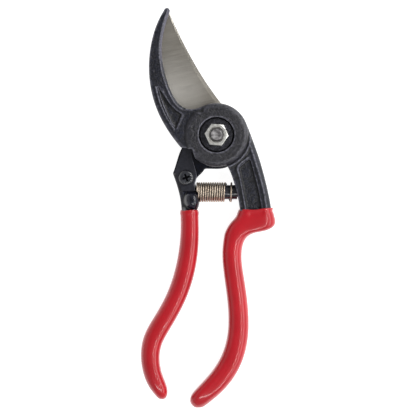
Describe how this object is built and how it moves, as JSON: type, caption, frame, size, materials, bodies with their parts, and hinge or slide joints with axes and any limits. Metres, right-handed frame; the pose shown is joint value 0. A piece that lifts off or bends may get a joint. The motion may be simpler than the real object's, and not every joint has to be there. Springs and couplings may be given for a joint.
{
  "type": "bypass pruner",
  "caption": "Hand pruner with a hooked counter blade, a bolted curved cutting blade, a coil return spring and dipped vinyl grips.",
  "frame": {"origin": "on the pivot axis, in the plane of the pivot bolt's flat head, which the tool rests on", "axes": "+Z out of the nut's side, +Y from the handle ends to the jaw tip, +X to the hook handle's thumb rest"},
  "size_m": [0.0722, 0.2149, 0.0218],
  "materials": {
    "forging": "matte black powder coat on forged steel",
    "blade_steel": "ground across its length",
    "zinc_steel": "bright zinc plate",
    "black_steel": "black oxide",
    "catch_steel": "stamped and tumbled",
    "spring_wire": "bronze-tinted spring wire",
    "bumper_rubber": "moulded",
    "grip_vinyl": "soft gloss dipped vinyl"
  },
  "bodies": {
    "hook_side": {"hook_handle": "forging", "pivot_bolt": "zinc_steel", "pivot_nut": "zinc_steel", "pivot_washer": "black_steel", "spring_peg_hook": "black_steel", "opening_stop_pin": "black_steel", "catch_rivet": "zinc_steel", "catch_washer": "zinc_steel", "hook_handle_grip": "grip_vinyl"},
    "blade_side": {"blade_handle": "forging", "cutting_blade": "blade_steel", "blade_screw": "black_steel", "spring_peg_blade": "black_steel", "stop_bumper": "bumper_rubber", "blade_handle_grip": "grip_vinyl", "return_spring": "spring_wire"},
    "catch": {"lock_catch": "catch_steel"}
  },
  "joints": [
    {"name": "blade_pivot", "type": "hinge", "parent": "hook_side", "child": "blade_side", "pos_m": [0, 0, 0.0086], "axis": [0, 0, -1], "range_deg": [0, 36], "stiffness_Nm_per_rad": 0.8, "springref_deg": 57.3, "deforming": ["return_spring"]},
    {"name": "catch_pivot", "type": "hinge", "parent": "hook_side", "child": "catch", "pos_m": [0.0135, -0.0195, 0.003], "axis": [0, 0, 1], "range_deg": [0, 11]}
  ]
}
